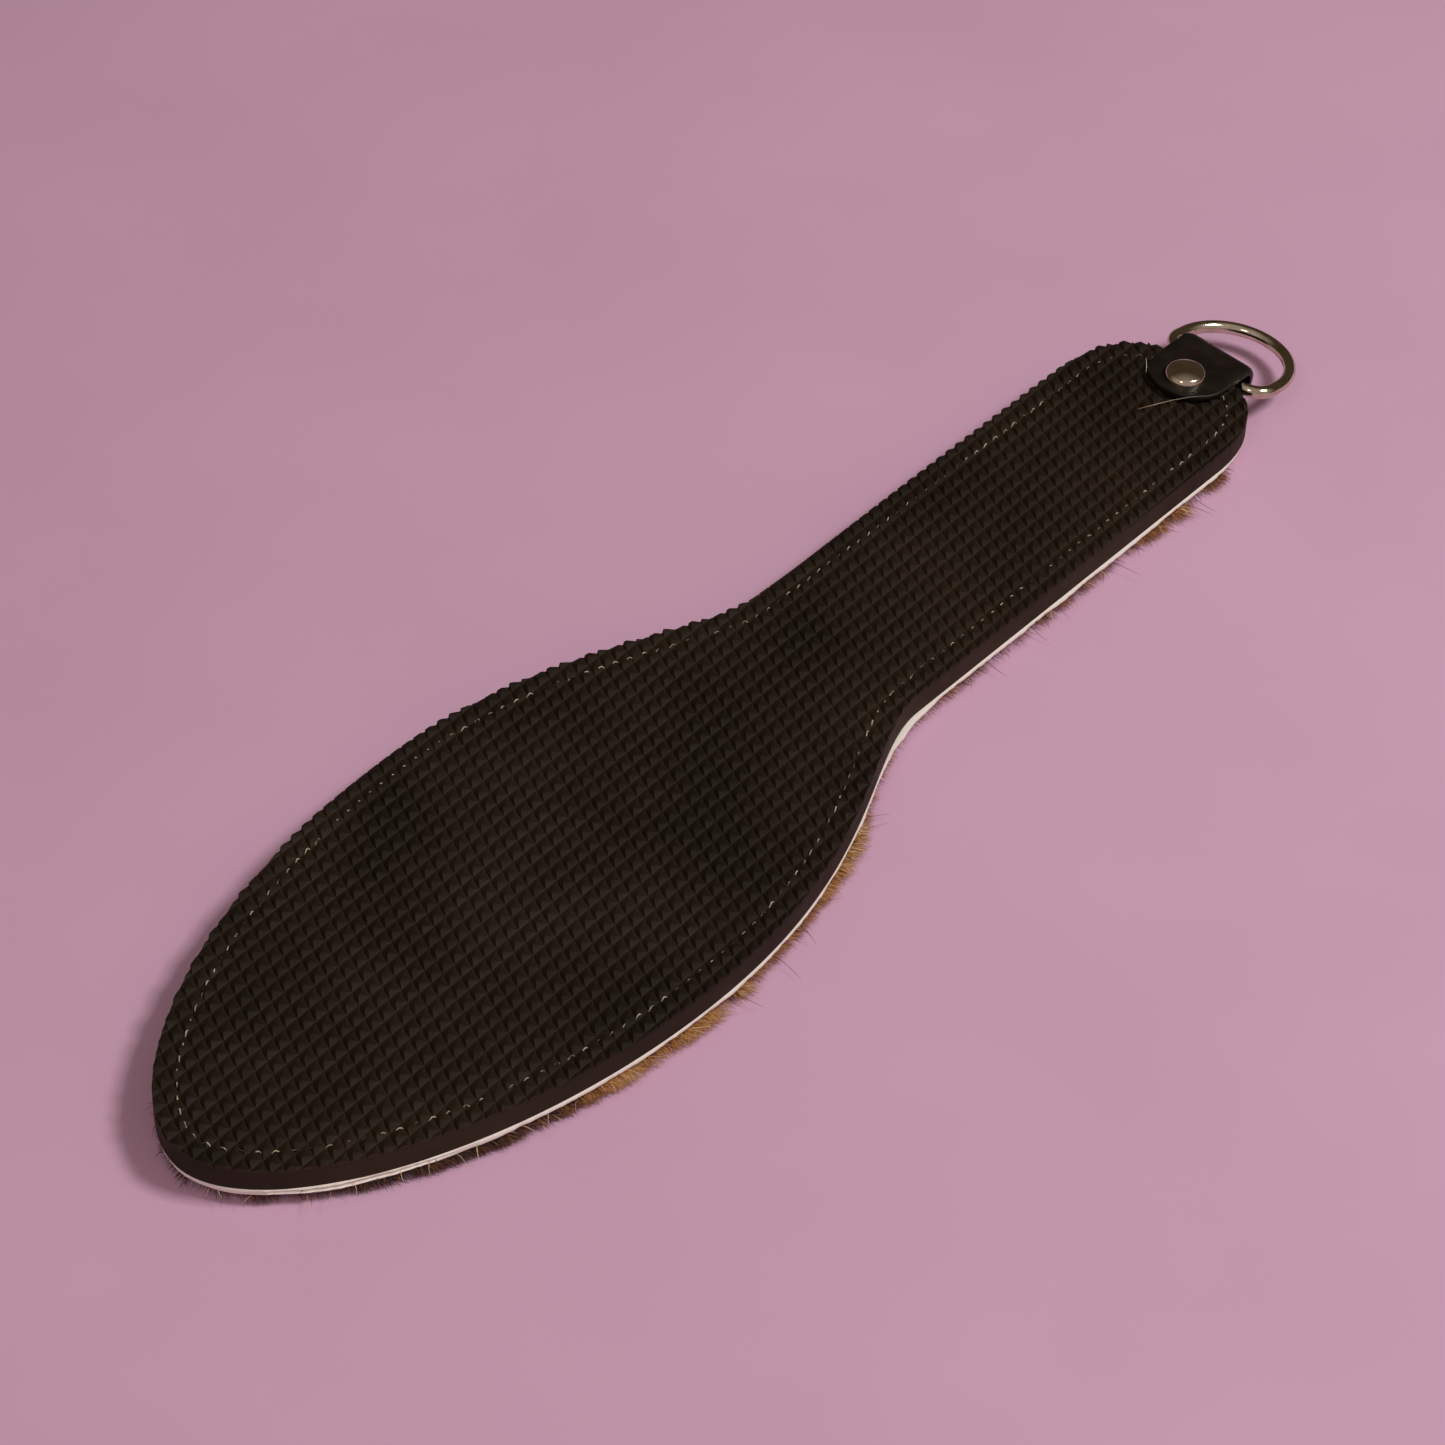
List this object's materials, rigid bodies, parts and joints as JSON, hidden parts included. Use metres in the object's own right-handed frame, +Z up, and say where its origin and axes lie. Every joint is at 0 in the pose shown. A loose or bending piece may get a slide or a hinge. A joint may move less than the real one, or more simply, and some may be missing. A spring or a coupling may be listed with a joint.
{
  "type": "clothes brush",
  "caption": "Flat paddle-shaped clothes brush: studded rubber face sewn to a short-haired hide face, with a riveted leather tab and a swinging D-ring.",
  "frame": {"origin": "under the middle of the whole object's box, on the surface that the hair side lies on", "axes": "+X along the brush towards the ring, +Y to its left, +Z up from the hair side to the studded side"},
  "size_m": [0.3709, 0.102, 0.0156],
  "materials": {
    "rubber": "matt moulded black rubber, studded top and smooth cut sides",
    "raw_hide": "pale undyed skin, cut edge",
    "hair": "short brown and ginger animal hair",
    "thread": "waxed pale thread",
    "leather": "smooth black finished leather",
    "nickel": "polished nickel plate"
  },
  "bodies": {
    "brush": {"rubber_pad": "rubber", "hide_backing": "raw_hide", "hair_pile": "hair", "needle_thread": "thread", "bobbin_thread": "thread", "hanging_tab": "leather", "rivet_cap": "nickel", "rivet_post": "nickel"},
    "ring": {"d_ring": "nickel"}
  },
  "joints": [
    {"name": "ring_swing", "type": "hinge", "parent": "brush", "child": "ring", "pos_m": [0.16205, -0.0024, 0.0094], "axis": [-0.0785, -0.9969, 0], "range_deg": [-78, 122]}
  ]
}
